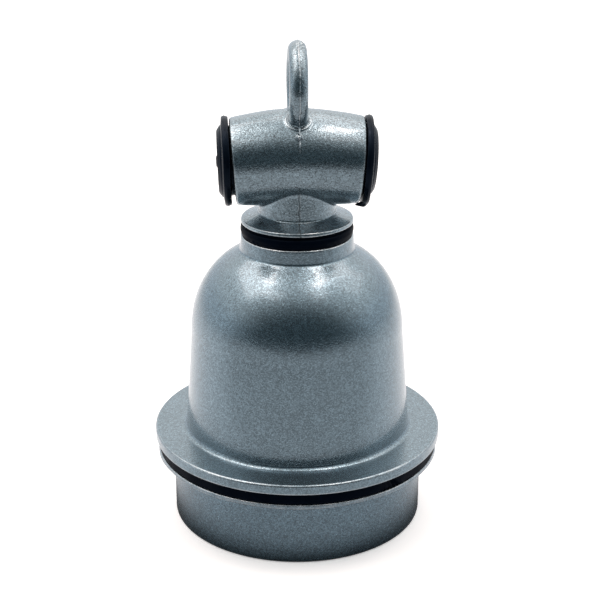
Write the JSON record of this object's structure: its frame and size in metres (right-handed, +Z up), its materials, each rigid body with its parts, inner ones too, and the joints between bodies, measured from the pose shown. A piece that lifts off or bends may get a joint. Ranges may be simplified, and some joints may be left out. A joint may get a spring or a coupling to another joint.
{
  "type": "pendant lamp head",
  "caption": "Weatherproof cast pendant lamp head with a hanging eye, cross cable barrel with rubber plugs, flanged bell, threaded shade collar and porcelain lamp holder.",
  "frame": {"origin": "centre of the collar's rim, which is the middle of the bounding box's bottom", "axes": "+Z up along the bell's axis to the hanging eye, X along the cable barrel"},
  "size_m": [0.11, 0.11, 0.1834],
  "materials": {
    "bell_paint": "satin",
    "head_paint": "satin",
    "collar_paint": "satin",
    "rubber": "satin",
    "porcelain": "gloss",
    "brass": "satin",
    "steel": "satin"
  },
  "bodies": {
    "bell": {"bell_housing": "bell_paint", "neck_gasket": "rubber", "neck_lock_washer": "steel", "lampholder_body": "porcelain", "screw_shell": "brass", "contact_base": "brass", "contact_stud": "brass", "shell_stud": "brass", "terminal_live": "brass", "terminal_neutral": "brass", "terminal_screw_live": "steel", "terminal_screw_neutral": "steel", "holder_bracket": "steel", "bracket_screw_left": "steel", "bracket_screw_right": "steel", "spring_washer_left": "steel", "spring_washer_right": "steel", "holder_screw_left": "steel", "holder_screw_right": "steel", "earth_screw": "brass", "earth_washer": "brass"},
    "head": {"hanger_head": "head_paint", "neck_locknut": "steel"},
    "plug_left": {"cable_plug_left": "rubber"},
    "plug_right": {"cable_plug_right": "rubber"},
    "lower_gasket": {"flange_gasket": "rubber"},
    "collar": {"shade_collar": "collar_paint"},
    "contact": {"contact_tongue": "brass"}
  },
  "joints": [
    {"name": "head_swivel", "type": "hinge", "parent": "bell", "child": "head", "pos_m": [0, 0, 0.1], "axis": [0, 0, 1], "range_deg": [-180, 180]},
    {"name": "plug_left_pull", "type": "slide", "parent": "head", "child": "plug_left", "axis": [-0.9969, 0, -0.0785], "range_m": [0, 0.025]},
    {"name": "plug_right_pull", "type": "slide", "parent": "head", "child": "plug_right", "axis": [0.9969, 0, -0.0785], "range_m": [0, 0.025]},
    {"name": "gasket_drop", "type": "slide", "parent": "bell", "child": "lower_gasket", "axis": [0, 0, -1], "range_m": [0, 0.009]},
    {"name": "collar_turn", "type": "hinge", "parent": "lower_gasket", "child": "collar", "pos_m": [0, 0, 0.0136], "axis": [0, 0, -1], "range_deg": [0, 540]},
    {"name": "contact_press", "type": "hinge", "parent": "bell", "child": "contact", "pos_m": [0, -0.0053, 0.0688], "axis": [1, 0, 0], "range_deg": [0, 14], "stiffness_Nm_per_rad": 0.05}
  ],
  "couplings": [
    {"joint": "gasket_drop", "follows": "collar_turn", "m_per_rad": 0.00095493}
  ]
}
